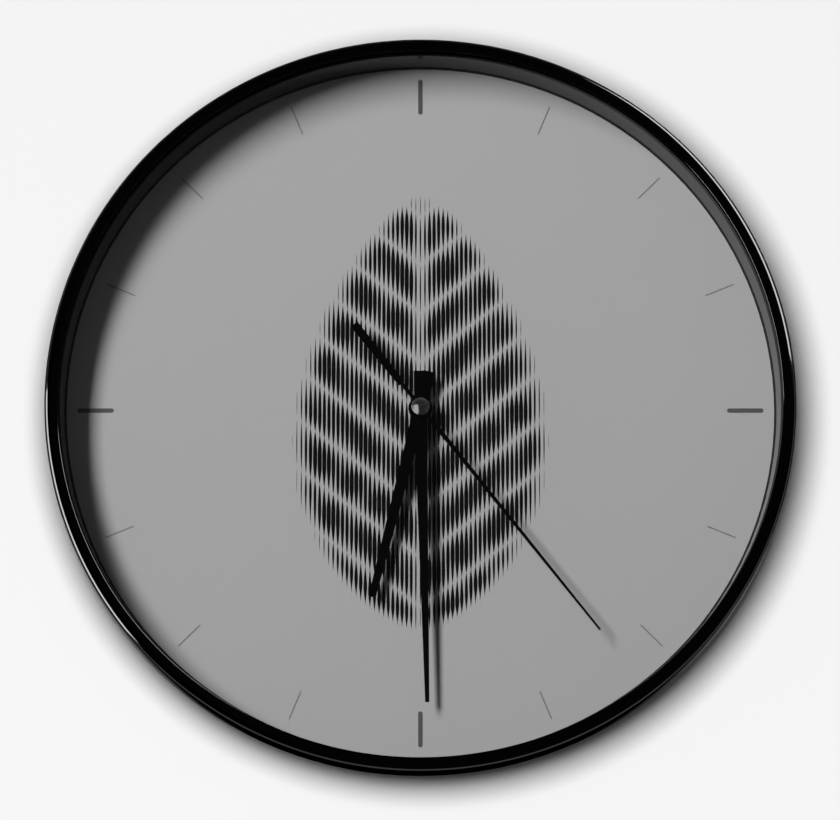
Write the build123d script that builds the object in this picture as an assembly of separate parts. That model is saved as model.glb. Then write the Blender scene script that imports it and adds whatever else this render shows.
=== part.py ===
from build123d import *

import math
import os

# Round wall clock with three hands on one arbor, in millimetres.
# +Z is up and the dial faces -Y. The origin is the centre of the hanger hole, in the plane of the wall.
# Each piece is drawn in the clock's own frame: x to the right, y up and z out of the wall, with zero
# where the arbor axis meets the wall. The last section places every piece in the part's frame.

# Overall sizes
clock_diameter = 254.0
overrun = 1.0                   # how far a cutter passes the face that it cuts

# Layers from the wall forward
movement_stand_off = 4.0        # wall to the back of the movement
plate_thickness = 2.0           # floor of the case, between movement and dial
dial_thickness = 1.0
dial_to_lens = 10.6
lens_thickness = 1.5
seal_thickness = 0.5
lip_thickness = 2.0

# Rim
bezel_wall = 2.2
bezel_round = 2.2
lip_round = 0.4
lip_flat = 2.0                  # between the two rounds
bezel_draft = 0.15              # how much narrower the rim is at its back edge
skirt_overlap = 6.6             # how far the rim's skirt reaches behind the lens
rim_fit_gap = 0.2
bead_height = 0.3
bead_width = 1.2
bead_set_back = 3.6             # behind the lens

# Lens, seal, spacer, gasket and dial
lens_gap = 0.4
lens_edge = 0.3
seal_width = 2.0
seal_gap = 0.1
spacer_foot = 2.3                # wall of the spacer at the dial
spacer_draft = 1.5               # how much thinner that wall is at the lens
spacer_gap = 0.2
gasket_thickness = 0.5
gasket_reveal = 0.4              # how far the gasket shows inside the spacer
dial_gap = 0.3

# Case
spigot_wall = 1.8
case_wall = 2.2
case_draft = 9.5                # how much narrower the case is at the wall
rib_height = 4.0
rib_wall = 1.4
ring_rib_gap = 1.4              # corner of the movement to the ring rib
radial_ribs = 8

# Hanger lug
hanger_inset = 23.0             # hanger hole to the outside of the rim
hanger_radius = 4.5
hanger_slot_width = 4.4
hanger_slot_rise = 6.0
lug_width = 26.0
lug_thickness = 3.0
lug_below = 10.0                # hanger hole to the lug's lower edge
lug_web = 1.6

# Clips that hold the movement
clip_width = 10.0
clip_wall = 1.6
clip_side_gap = 0.3
clip_hook_reach = 1.2
clip_hook_thickness = 1.4
clip_hook_gap = 0.3
clip_rise = 5.0                 # clip's middle above the arbor

# Movement shells
movement_corner = 3.0
shell_wall = 1.2
bay_wall = 0.9
boss_wall = 0.5
boss_above_dial = 0.4
hole_gap = 0.1
cover_lip_wall = 1.0
cover_lip_height = 1.5
cover_lip_gap = 0.15
pivot_boss_height = 1.6
pivot_boss_wall = 0.9
pivot_depth = 1.2
pivot_end_gap = 0.15
running_gap = 0.05              # radial, at every pivot and bush
press_gap = 0.02                # radial, where pieces of one body are pressed together

# Battery and its contacts
battery_diameter = 14.5
battery_body_length = 49.3
battery_nub_diameter = 5.5
battery_nub_length = 1.2
battery_edge = 0.8
bay_gap = 0.25
contact_thickness = 0.4
contact_gap = 0.15
contact_width = 12.0
contact_set_back = 3.2          # contact's edge behind the open face of the bay
positive_tail = 11.0            # rise of the positive contact above the bay
strip_width = 1.4
leaf_height = 10.0
leaf_width = 6.6
leaf_rise = 2.0                 # bow of the leaf that presses on the battery

# Wheel train: distances between arbors, with the directions that they lie in
third_distance = 11.52
third_angle = math.radians(150)
intermediate_clearance = 1.36   # pitch circle of the centre wheel to the intermediate arbor
intermediate_angle = math.radians(60)
rotor_distance = 8.4            # from the intermediate arbor
rotor_angle = math.radians(10)
motion_distance = 9.0
motion_angle = math.radians(200)
knob_distance = 9.0             # from the minute wheel's post
train_gap = 0.66                # lowest pitch circle to the wall over the battery

# Teeth
rotor_teeth = 8
intermediate_teeth = 48
intermediate_pinion_teeth = 8
seconds_teeth = 40
seconds_pinion_teeth = 8
third_teeth = 60
third_pinion_teeth = 8
centre_teeth = 64
cannon_teeth = 12
minute_teeth = 36
minute_pinion_teeth = 10
hour_teeth = 40
knob_teeth = 12
knurls = 24

# Tooth shapes: heights as shares of the module, half widths as shares of the tooth pitch
wheel_addendum_share = 0.85
pinion_addendum_share = 0.75
dedendum_share = 1.15
wheel_half_width_shares = (0.27, 0.19, 0.08)
pinion_half_width_shares = (0.20, 0.165, 0.10)
knurl_half_width_shares = (0.30, 0.25, 0.18)

# Wheels and arbors
wheel_thickness = 0.8
pinion_thickness = 1.4
middle_plate_thickness = 1.0
intermediate_layer_rise = 2.9   # cover to the middle of the intermediate wheel, then layer by layer
seconds_layer_rise = 1.5
third_layer_rise = 1.7
centre_layer_rise = 1.5
middle_plate_rise = 1.6
motion_layer_rise = 1.6
hour_layer_rise = 1.8
front_shell_rise = 1.0
pivot_radius = 0.5
seconds_arbor_radius = 0.45
minute_tube_radius = 1.6
hour_pipe_radius = 2.55
post_radius = 0.6
magnet_radius = 2.5
magnet_thickness = 2.0
magnet_front_drop = 1.6         # centre wheel's layer to the front of the magnet

# Setting knob
knob_radius = 4.2
knob_thickness = 1.8
knob_gap = 0.2
knob_shaft_radius = 1.2
knob_stub_depth = 0.6

# Middle plate: how far it reaches past the arbors that it holds
plate_left_margin = 5.1
plate_right_margin = 6.7
plate_top_margin = 7.0
plate_bottom_gap = 0.5
wing_margin = 4.2
pillar_radius = 1.1
pillar_inset = 1.2
stake_length = 0.4              # how far a stake stands out of what it holds

# Stepping motor
stator_thickness = 1.0
stator_hole_gap = 0.7
stator_ring_wall = 2.0
stator_leg_width = 2.6
core_left = 3.5
core_inset = 2.8                # right end of the core to the shell's side
core_rise = 21.5                # coil's axis above the arbor
coil_top_gap = 1.9
left_elbow_rise = 16.5
right_elbow_rise = 13.0
core_width = 2.4
core_thickness = 1.0
bobbin_gap = 0.1
bobbin_wall = 0.5
bobbin_flange = 0.8
bobbin_end_gap = 0.6
bobbin_height = 6.8
bobbin_depth = 5.4
winding_margin = 0.3

# Circuit board
board_thickness = 1.0
board_gap = 1.0                 # middle plate's edge to the board's
board_height = 16.0
board_stand_off = 1.2
board_post_radius = 1.0
board_post_inset = 2.0
crystal_radius = 1.0
crystal_length = 6.0
crystal_gap = 0.05
crystal_inset = 4.0
crystal_margin = 1.0
chip_radius = 2.0
chip_thickness = 0.9
chip_inset = 5.0
chip_margin = 1.5

# Hands: heights above the dial, and outlines
hour_hand_height = 3.2
minute_hand_height = 4.4
second_hand_height = 5.8
hand_thickness = 0.35
second_hand_thickness = 0.3
hub_radius = 4.1
minute_hub_radius = 3.9
hour_length = 67.3
hour_root_width = 4.6
hour_tip_width = 2.5
hour_tail_length = 13.2
hour_tail_width = 4.1
minute_length = 101.7
minute_root_width = 4.6
minute_tip_width = 1.4
minute_tail_length = 12.8
minute_tail_width = 4.0
second_length = 98.0
second_root_width = 1.6
second_tip_width = 0.7
second_neck_width = 1.3
second_hub_radius = 2.6
paddle_start = 10.2
paddle_end = 36.5
paddle_start_width = 2.4
paddle_end_width = 3.0
collet_wall = 0.7
hour_collet_length = 1.5
minute_collet_length = 0.5
arbor_end_gap = 0.15
cap_radius = 3.05
cap_height = 1.5
cap_edge = 0.5                  # upright edge below the dome
cap_tube_radius = 1.1
cap_tube_length = 0.65
cap_bore_rise = 0.8

# Angles of the hands at rest, clockwise from the top of the dial
hour_hand_angle = 194.0
minute_hand_angle = 178.7
second_hand_angle = 141.9

# Heights inside the movement, from the cover to the front shell
cover_inner = movement_stand_off + shell_wall
intermediate_layer = cover_inner + intermediate_layer_rise
seconds_layer = intermediate_layer + seconds_layer_rise
third_layer = seconds_layer + third_layer_rise
centre_layer = third_layer + centre_layer_rise
middle_plate_layer = centre_layer + middle_plate_rise
motion_layer = middle_plate_layer + motion_layer_rise
hour_layer = motion_layer + hour_layer_rise
front_inner = hour_layer + front_shell_rise

# Heights above the wall
plate_back = front_inner + shell_wall
plate_front = plate_back + plate_thickness
dial_front = plate_front + dial_thickness
gasket_front = dial_front + gasket_thickness
lens_back = dial_front + dial_to_lens
lens_front = lens_back + lens_thickness
lip_back = lens_front + seal_thickness
crest = lip_back + lip_thickness
shoulder = lens_back - skirt_overlap
bead_at = lens_back - bead_set_back

# Radii of the rim and the case
outer_radius = clock_diameter / 2
lip_radius = outer_radius - bezel_round - lip_flat - lip_round
skirt_inner_radius = outer_radius - bezel_wall
shoulder_radius = outer_radius - bezel_draft
spigot_radius = skirt_inner_radius - rim_fit_gap
spigot_inner_radius = spigot_radius - spigot_wall
back_radius = outer_radius - case_draft
dial_radius = spigot_inner_radius - dial_gap
spacer_radius = spigot_inner_radius - spacer_gap
spacer_foot_radius = spacer_radius - spacer_foot
lens_radius = skirt_inner_radius - lens_gap
hang_drop = outer_radius - hanger_inset

# Heights of the plate, the motor and the board
middle_plate_back = middle_plate_layer - middle_plate_thickness / 2
middle_plate_front = middle_plate_layer + middle_plate_thickness / 2
magnet_front = centre_layer - magnet_front_drop
magnet_layer = magnet_front - magnet_thickness / 2
stator_back = magnet_layer - stator_thickness / 2
stator_front = stator_back + stator_thickness
core_front = stator_front + core_thickness
core_layer = stator_front + core_thickness / 2
board_front = front_inner - board_stand_off
board_back = board_front - board_thickness

# Places of the arbors, from the arbor of the hands
centre_place = (0.0, 0.0)
centre_pitch_radius = third_distance * centre_teeth / (centre_teeth + third_pinion_teeth)
minute_pitch_radius = motion_distance * minute_teeth / (minute_teeth + cannon_teeth)
intermediate_distance = centre_pitch_radius + intermediate_clearance
third_place = (third_distance * math.cos(third_angle), third_distance * math.sin(third_angle))
intermediate_place = (
    intermediate_distance * math.cos(intermediate_angle),
    intermediate_distance * math.sin(intermediate_angle),
)
rotor_place = (
    intermediate_place[0] + rotor_distance * math.cos(rotor_angle),
    intermediate_place[1] + rotor_distance * math.sin(rotor_angle),
)
motion_place = (motion_distance * math.cos(motion_angle), motion_distance * math.sin(motion_angle))
knob_place = (
    motion_place[0] + knob_distance * math.cos(motion_angle),
    motion_place[1] + knob_distance * math.sin(motion_angle),
)

# Plan of the movement: the battery sets its width, the wheels, the battery and the coil its height
battery_length = battery_body_length + battery_nub_length
inner_side = (battery_length + leaf_rise) / 2 + contact_thickness + contact_gap
movement_side = inner_side + shell_wall
train_floor = -max(centre_pitch_radius, minute_pitch_radius - motion_place[1]) - train_gap
bay_top = train_floor - bay_wall
inner_bottom = bay_top - battery_diameter - 2 * bay_gap
movement_bottom = inner_bottom - shell_wall
inner_top = core_rise + bobbin_height / 2 + coil_top_gap
movement_top = inner_top + shell_wall
battery_axis = bay_top - bay_gap - battery_diameter / 2
battery_height = front_inner - bay_gap - battery_diameter / 2
ring_rib_radius = math.hypot(movement_side, max(movement_top, -movement_bottom)) + ring_rib_gap

# Plan of the plate, the motor and the board
plate_left = knob_place[0] - plate_left_margin
plate_right = intermediate_place[0] + plate_right_margin
plate_top = intermediate_place[1] + plate_top_margin
plate_bottom = train_floor + plate_bottom_gap
core_right = inner_side - core_inset
strip_top = train_floor + contact_thickness
board_left = plate_right + board_gap
board_right = inner_side - contact_thickness
board_top = strip_top + board_height


# Basic solids

def block(x_span, y_span, z_span):
    """A box between two values on each axis."""
    size = [span[1] - span[0] for span in (x_span, y_span, z_span)]
    middle = [(span[0] + span[1]) / 2 for span in (x_span, y_span, z_span)]
    return Pos(*middle) * Box(*size)


def rod(radius, low, high, place=centre_place):
    """A cylinder along the arbor's direction, between two heights."""
    return Pos(place[0], place[1], (low + high) / 2) * Cylinder(radius, high - low)


def turned(section):
    """A ring made by turning a section, drawn as (radius, height), about the arbor axis."""
    return revolve(Plane.XZ * section, Axis.Z)


def outline(points):
    """A flat face inside a closed run of straight lines."""
    return make_face(Polyline(*points, close=True))


def raised(face, low, high, place=centre_place):
    """A flat face made into a solid between two heights."""
    return extrude(Pos(place[0], place[1], low) * face, high - low)


def rounded_corner(section, corner, radius):
    """A section with one corner rounded."""
    vertex = section.vertices().sort_by_distance((corner[0], corner[1], 0))[0]
    return fillet(vertex, radius)


# Toothed wheels

def toothed(teeth, pitch_radius, first_tooth, addendum_share, half_width_shares):
    """A toothed outline, with a tooth on the direction first_tooth."""
    module = 2 * pitch_radius / teeth
    pitch = 2 * math.pi / teeth
    root_radius = pitch_radius - dedendum_share * module
    tip_radius = pitch_radius + addendum_share * module
    root_share, middle_share, tip_share = half_width_shares
    flank = [(root_radius, -root_share), (pitch_radius, -middle_share), (tip_radius, -tip_share)]
    flank += [(radius, -share) for radius, share in reversed(flank)]
    points = []
    for tooth in range(teeth):
        for radius, share in flank:
            angle = first_tooth + (tooth + share) * pitch
            points.append((radius * math.cos(angle), radius * math.sin(angle)))
    return outline(points)


def wheel(teeth, pitch_radius, gap_towards, layer, place=centre_place):
    """A toothed disc, with a gap on the direction gap_towards."""
    first_tooth = gap_towards + math.pi / teeth
    face = toothed(teeth, pitch_radius, first_tooth, wheel_addendum_share, wheel_half_width_shares)
    return raised(face, layer - wheel_thickness / 2, layer + wheel_thickness / 2, place)


def pinion(teeth, pitch_radius, tooth_towards, low, high, place=centre_place):
    """A small toothed wheel, with a tooth on the direction tooth_towards."""
    face = toothed(teeth, pitch_radius, tooth_towards, pinion_addendum_share, pinion_half_width_shares)
    return raised(face, low, high, place)


def pitch_radius(distance, teeth, mate_teeth):
    """Pitch radius of a wheel that meets its mate over a distance between arbors."""
    return distance * teeth / (teeth + mate_teeth)


def pinion_front(layer):
    """Front end of a pinion that meets the wheel in a layer."""
    return layer + pinion_thickness / 2


def pinion_back(layer):
    """Back end of a pinion that meets the wheel in a layer."""
    return layer - pinion_thickness / 2


pivot_floor = cover_inner + pivot_boss_height - pivot_depth
pivot_end = pivot_floor + pivot_end_gap


def case_profile_radius(height):
    """Outer radius of the case at a height above the wall."""
    return back_radius + (shoulder_radius - back_radius) * height / shoulder


# Case and rim

def case_envelope():
    """The case's outer shape, filled."""
    return turned(outline([(0, 0), (back_radius, 0), (shoulder_radius, shoulder), (0, shoulder)]))


def case_shell():
    """Side wall, floor and the spigot that the rim snaps over."""
    inner_top = case_profile_radius(plate_back) - case_wall
    inner_bottom = back_radius - case_wall
    return turned(outline([
        (back_radius, 0),
        (shoulder_radius, shoulder),
        (spigot_radius, shoulder),
        (spigot_radius, bead_at - bead_width / 2),
        (spigot_radius + bead_height, bead_at),
        (spigot_radius, bead_at + bead_width / 2),
        (spigot_radius, lens_back),
        (spigot_inner_radius, lens_back),
        (spigot_inner_radius, plate_front),
        (0, plate_front),
        (0, plate_back),
        (inner_top, plate_back),
        (inner_bottom, 0),
    ]))


def case_ribs():
    """Ring rib round the movement and ribs from it to the side wall."""
    low = plate_back - rib_height
    ring = rod(ring_rib_radius + rib_wall, low, plate_back) - rod(ring_rib_radius, low, plate_back)
    ribs = [ring]
    for number in range(radial_ribs):
        angle = 360 * (number + 0.5) / radial_ribs
        rib = block((ring_rib_radius, outer_radius), (-rib_wall / 2, rib_wall / 2), (low, plate_back))
        ribs.append(Rot(0, 0, angle) * rib)
    return ribs


def hanger_lug():
    """Plate with the keyhole, on two webs, at the top of the case."""
    low_edge = hang_drop - lug_below
    half = lug_width / 2
    lug = block((-half, half), (low_edge, outer_radius), (0, lug_thickness))
    for side in (-1, 1):
        web_span = sorted((side * half, side * (half - lug_web)))
        lug += block(web_span, (low_edge, outer_radius), (0, plate_back))
    slot_top = hang_drop + hanger_slot_rise
    slot_half = hanger_slot_width / 2
    cut_span = (-overrun, lug_thickness + overrun)
    lug -= rod(hanger_radius, *cut_span, (0, hang_drop))
    lug -= block((-slot_half, slot_half), (hang_drop, slot_top), cut_span)
    lug -= rod(slot_half, *cut_span, (0, slot_top))
    return lug


def movement_clips():
    """Two hooks that hold the movement against the floor of the case."""
    inside = movement_side + clip_side_gap
    hook_front = movement_stand_off - clip_hook_gap
    hook_back = hook_front - clip_hook_thickness
    y_span = (clip_rise - clip_width / 2, clip_rise + clip_width / 2)
    clips = []
    for side in (-1, 1):
        x_span = sorted((side * inside, side * (inside + clip_wall)))
        stem = block(x_span, y_span, (hook_back, plate_back))
        hook = outline([
            (side * (inside + clip_wall), hook_back),
            (side * (inside - clip_hook_reach), hook_front),
            (side * (inside + clip_wall), hook_front),
        ])
        hook = extrude(Plane.XZ * hook, clip_width / 2, both=True)
        clips.append(stem + Pos(0, clip_rise, 0) * hook)
    return clips


def rear_case():
    extras = [piece & case_envelope() for piece in case_ribs() + [hanger_lug()]]
    case = case_shell() + extras + movement_clips()
    hole_radius = hour_pipe_radius + running_gap + boss_wall + hole_gap
    return case - rod(hole_radius, plate_back - overrun, plate_front + overrun)


def front_bezel():
    groove = bead_height + press_gap
    section = outline([
        (lip_radius, lip_back),
        (lip_radius, crest),
        (outer_radius, crest),
        (outer_radius, crest - bezel_round - overrun),
        (shoulder_radius, shoulder),
        (skirt_inner_radius, shoulder),
        (skirt_inner_radius, bead_at - bead_width / 2),
        (skirt_inner_radius + groove, bead_at),
        (skirt_inner_radius, bead_at + bead_width / 2),
        (skirt_inner_radius, lip_back),
    ])
    section = rounded_corner(section, (outer_radius, crest), bezel_round)
    section = rounded_corner(section, (lip_radius, crest), lip_round)
    return turned(section)


def lens():
    return turned(outline([
        (0, lens_back),
        (lens_radius - lens_edge, lens_back),
        (lens_radius, lens_back + lens_edge),
        (lens_radius, lens_front - lens_edge),
        (lens_radius - lens_edge, lens_front),
        (0, lens_front),
    ]))


def lens_seal():
    seal_radius = skirt_inner_radius - seal_gap
    ring = rod(seal_radius, lens_front, lip_back)
    return ring - rod(seal_radius - seal_width, lens_front - overrun, lip_back + overrun)


def spacer_ring():
    """Slanted inner wall between dial and lens, wider at the lens."""
    return turned(outline([
        (spacer_radius, gasket_front),
        (spacer_radius, lens_back),
        (spacer_foot_radius + spacer_draft, lens_back),
        (spacer_foot_radius, gasket_front),
    ]))


def dial_gasket():
    """Thin ring under the spacer, seen as a dark line round the dial."""
    ring = rod(spacer_radius, dial_front, gasket_front)
    return ring - rod(spacer_foot_radius - gasket_reveal, dial_front - overrun, gasket_front + overrun)


def dial_plate():
    hole_radius = hour_pipe_radius + running_gap + boss_wall + hole_gap
    disc = rod(dial_radius, plate_front, dial_front)
    return disc - rod(hole_radius, plate_front - overrun, dial_front + overrun)


# Movement shells

def stakes(places, radius, foot, top):
    """Posts from the front shell to a seat, each with a thinner stake through the piece it holds."""
    posts = []
    for place in places:
        posts.append(rod(radius, foot, front_inner, place))
        posts.append(rod(post_radius, top, foot, place))
    return posts


def plate_post_places():
    """Posts at the corners of the middle plate."""
    left = plate_left + pillar_inset
    right = plate_right - pillar_inset
    return [(x, y) for x in (left, right) for y in (plate_bottom + pillar_inset, plate_top - pillar_inset)]


def board_post_places():
    """Posts at two corners of the circuit board."""
    return [
        (board_left + board_post_inset, board_top - board_post_inset),
        (board_right - board_post_inset, strip_top + board_post_inset),
    ]


def core_post_places():
    """Posts at the two ends of the coil's core."""
    return [(core_left, core_rise), (core_right, core_rise)]


def stake_holes(places, low, high):
    """Cutters for the stakes that pass through a plate."""
    return [rod(post_radius + running_gap, low - overrun, high + overrun, place) for place in places]


def movement_block(low, high):
    """The movement's outline, filled between two heights."""
    face = RectangleRounded(2 * movement_side, movement_top - movement_bottom, movement_corner)
    return raised(face, low, high, (0, (movement_top + movement_bottom) / 2))


def movement_base():
    base = movement_block(movement_stand_off, plate_back)
    inner = (-inner_side, inner_side)
    outer = (-movement_side - overrun, movement_side + overrun)
    base -= block(outer, (bay_top, movement_top + overrun), (movement_stand_off - overrun, cover_inner))
    base -= block(inner, (train_floor, inner_top), (cover_inner - overrun, front_inner))
    base -= block(inner, (inner_bottom, bay_top), (movement_stand_off - overrun, front_inner))
    notch = contact_thickness + contact_gap
    for side in (-1, 1):
        notch_span = sorted((side * inner_side, side * (inner_side - notch)))
        base -= block(notch_span, (bay_top - overrun, train_floor + overrun), (cover_inner, front_inner))
    bore = hour_pipe_radius + running_gap
    base += rod(bore + boss_wall, front_inner, dial_front + boss_above_dial)
    base -= rod(bore, front_inner - overrun, dial_front + boss_above_dial + overrun)
    base += stakes(plate_post_places(), pillar_radius, middle_plate_front, middle_plate_back - stake_length)
    base += stakes(board_post_places(), board_post_radius, board_front, board_back - stake_length)
    base += stakes(core_post_places(), pillar_radius, core_front, stator_back - stake_length)
    return base - rod(post_radius + running_gap, front_inner - overrun, plate_back - stake_length, knob_place)


def movement_cover():
    cover = movement_block(movement_stand_off, cover_inner)
    outer = (-movement_side - overrun, movement_side + overrun)
    cover -= block(outer, (movement_bottom - overrun, bay_top), (-overrun, plate_back))
    lip_side = inner_side - cover_lip_gap
    lip_foot = train_floor + cover_lip_gap
    lip_top = inner_top - cover_lip_gap
    lip_span = (cover_inner, cover_inner + cover_lip_height)
    cut_span = (cover_inner, cover_inner + cover_lip_height + overrun)
    hollow = lip_side - cover_lip_wall
    lip = block((-lip_side, lip_side), (lip_foot, lip_top), lip_span)
    lip -= block((-hollow, hollow), (lip_foot + cover_lip_wall, lip_top - cover_lip_wall), cut_span)
    cover += lip
    boss_top = cover_inner + pivot_boss_height
    for place, radius in (
        (centre_place, seconds_arbor_radius),
        (third_place, pivot_radius),
        (intermediate_place, pivot_radius),
        (rotor_place, pivot_radius),
    ):
        cover += rod(radius + running_gap + pivot_boss_wall, cover_inner, boss_top, place)
        cover -= rod(radius + running_gap, pivot_floor, boss_top + overrun, place)
    shaft_hole = knob_shaft_radius + running_gap
    cover += rod(shaft_hole + pivot_boss_wall, cover_inner, boss_top, knob_place)
    return cover - rod(shaft_hole, movement_stand_off - overrun, boss_top + overrun, knob_place)


def middle_plate():
    low, high = middle_plate_back, middle_plate_front
    plate = block((plate_left, plate_right), (plate_bottom, plate_top), (low, high))
    across, up = rotor_place
    wing_span = (up - wing_margin, up + wing_margin)
    plate += block((plate_right - overrun, across + wing_margin), wing_span, (low, high))
    holes = stake_holes(plate_post_places(), low, high)
    for place, radius in (
        (centre_place, minute_tube_radius),
        (third_place, pivot_radius),
        (intermediate_place, pivot_radius),
        (rotor_place, pivot_radius),
        (knob_place, knob_shaft_radius),
    ):
        holes.append(rod(radius + running_gap, low - overrun, high + overrun, place))
    post_top = front_inner - pivot_end_gap
    return plate - holes + rod(post_radius, high, post_top, motion_place)


# Electronics

def circuit_board():
    board = block((board_left, board_right), (strip_top, board_top), (board_back, board_front))
    return board - stake_holes(board_post_places(), board_back, board_front)


def quartz_crystal():
    across = board_left + crystal_inset
    height = board_back - crystal_radius - crystal_gap
    can = Rot(90, 0, 0) * Cylinder(crystal_radius, crystal_length)
    return Pos(across, board_top - crystal_margin - crystal_length / 2, height) * can


def driver_chip():
    place = (board_right - chip_inset, strip_top + chip_margin + chip_radius)
    chip = rod(chip_radius, board_back - chip_thickness, board_back, place)
    back_edge = chip.edges().sort_by(Axis.Z)[0]
    return fillet(back_edge, chip_thickness / 2)


def coil_core():
    half = core_width / 2
    x_span = (core_left - half, core_right + half)
    core = block(x_span, (core_rise - half, core_rise + half), (stator_front, core_front))
    return core - stake_holes(core_post_places(), stator_front, core_front)


def around_core(x_span, height, depth):
    """A box round the core's axis."""
    y_span = (core_rise - height / 2, core_rise + height / 2)
    return block(x_span, y_span, (core_layer - depth / 2, core_layer + depth / 2))


def coil_span():
    """Ends of the bobbin, between the stator's legs."""
    margin = stator_leg_width / 2 + bobbin_end_gap
    return core_left + margin, core_right - margin


def bobbin_tube_size():
    """Height and depth of the tube that the wire is wound on."""
    wall = 2 * (bobbin_gap + bobbin_wall)
    return core_width + wall, core_thickness + wall


def coil_bobbin():
    left, right = coil_span()
    height, depth = bobbin_tube_size()
    bobbin = around_core((left, right), height, depth)
    bobbin += around_core((left, left + bobbin_flange), bobbin_height, bobbin_depth)
    bobbin += around_core((right - bobbin_flange, right), bobbin_height, bobbin_depth)
    hole_size = (core_width + 2 * bobbin_gap, core_thickness + 2 * bobbin_gap)
    return bobbin - around_core((left - overrun, right + overrun), *hole_size)


def coil_winding():
    left, right = coil_span()
    span = (left + bobbin_flange, right - bobbin_flange)
    winding = around_core(span, bobbin_height - 2 * winding_margin, bobbin_depth - 2 * winding_margin)
    return winding - around_core((span[0] - overrun, span[1] + overrun), *bobbin_tube_size())


def bar(start, end, width, low, high):
    """A flat bar with round ends between two places."""
    length = math.dist(start, end)
    angle = math.degrees(math.atan2(end[1] - start[1], end[0] - start[0]))
    face = Rot(0, 0, angle) * SlotCenterToCenter(length, width)
    middle = ((start[0] + end[0]) / 2, (start[1] + end[1]) / 2)
    return raised(face, low, high, middle)


def stator():
    hole_radius = magnet_radius + stator_hole_gap
    body = rod(hole_radius + stator_ring_wall, stator_back, stator_front, rotor_place)
    for post, elbow_rise in zip(core_post_places(), (left_elbow_rise, right_elbow_rise)):
        elbow = (post[0], elbow_rise)
        body += bar(post, elbow, stator_leg_width, stator_back, stator_front)
        body += bar(elbow, rotor_place, stator_leg_width, stator_back, stator_front)
    body -= rod(hole_radius, stator_back - overrun, stator_front + overrun, rotor_place)
    return body - stake_holes(core_post_places(), stator_back, stator_front)


# Wheel train

def rotor():
    radius = pitch_radius(rotor_distance, rotor_teeth, intermediate_teeth)
    low, high = pinion_back(intermediate_layer), pinion_front(intermediate_layer)
    turning = rod(pivot_radius, pivot_end, middle_plate_front, rotor_place)
    turning += pinion(rotor_teeth, radius, rotor_angle + math.pi, low, high, rotor_place)
    return turning + rod(magnet_radius, magnet_front - magnet_thickness, magnet_front, rotor_place)


def intermediate_wheel():
    radius = pitch_radius(rotor_distance, intermediate_teeth, rotor_teeth)
    small = pitch_radius(intermediate_distance, intermediate_pinion_teeth, seconds_teeth)
    towards_centre = intermediate_angle + math.pi
    low, high = intermediate_layer, pinion_front(seconds_layer)
    turning = rod(pivot_radius, pivot_end, middle_plate_front, intermediate_place)
    turning += wheel(intermediate_teeth, radius, rotor_angle, intermediate_layer, intermediate_place)
    teeth = intermediate_pinion_teeth
    return turning + pinion(teeth, small, towards_centre, low, high, intermediate_place)


def seconds_wheel():
    radius = pitch_radius(intermediate_distance, seconds_teeth, intermediate_pinion_teeth)
    small = pitch_radius(third_distance, seconds_pinion_teeth, third_teeth)
    arbor_end = dial_front + second_hand_height + second_hand_thickness + cap_bore_rise - arbor_end_gap
    turning = rod(seconds_arbor_radius, pivot_end, arbor_end)
    turning += wheel(seconds_teeth, radius, intermediate_angle, seconds_layer)
    low, high = seconds_layer, pinion_front(third_layer)
    return turning + pinion(seconds_pinion_teeth, small, third_angle, low, high)


def third_wheel():
    radius = pitch_radius(third_distance, third_teeth, seconds_pinion_teeth)
    small = pitch_radius(third_distance, third_pinion_teeth, centre_teeth)
    towards_centre = third_angle + math.pi
    low, high = third_layer, pinion_front(centre_layer)
    turning = rod(pivot_radius, pivot_end, middle_plate_front, third_place)
    turning += wheel(third_teeth, radius, towards_centre, third_layer, third_place)
    return turning + pinion(third_pinion_teeth, small, towards_centre, low, high, third_place)


def centre_wheel():
    radius = pitch_radius(third_distance, centre_teeth, third_pinion_teeth)
    disc = wheel(centre_teeth, radius, third_angle, centre_layer)
    bore = minute_tube_radius + press_gap
    return disc - rod(bore, centre_layer - wheel_thickness, centre_layer + wheel_thickness)


def minute_arbor():
    small = pitch_radius(motion_distance, cannon_teeth, minute_teeth)
    low, high = pinion_back(motion_layer), pinion_front(motion_layer)
    tube_end = dial_front + minute_hand_height + hand_thickness + arbor_end_gap
    tube = rod(minute_tube_radius, centre_layer - wheel_thickness / 2, tube_end)
    tube += pinion(cannon_teeth, small, motion_angle, low, high)
    return tube - rod(seconds_arbor_radius + running_gap, cover_inner, tube_end + overrun)


def minute_wheel():
    radius = pitch_radius(motion_distance, minute_teeth, cannon_teeth)
    small = pitch_radius(motion_distance, minute_pinion_teeth, hour_teeth)
    towards_centre = motion_angle + math.pi
    low, high = motion_layer, pinion_front(hour_layer)
    turning = wheel(minute_teeth, radius, towards_centre, motion_layer, motion_place)
    turning += pinion(minute_pinion_teeth, small, towards_centre, low, high, motion_place)
    return turning - rod(post_radius + running_gap, middle_plate_front, front_inner, motion_place)


def hour_wheel():
    radius = pitch_radius(motion_distance, hour_teeth, minute_pinion_teeth)
    pipe_end = dial_front + hour_hand_height + hand_thickness + arbor_end_gap
    turning = rod(hour_pipe_radius, hour_layer - wheel_thickness / 2, pipe_end)
    turning += wheel(hour_teeth, radius, motion_angle, hour_layer)
    return turning - rod(minute_tube_radius + running_gap, middle_plate_front, pipe_end + overrun)


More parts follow.
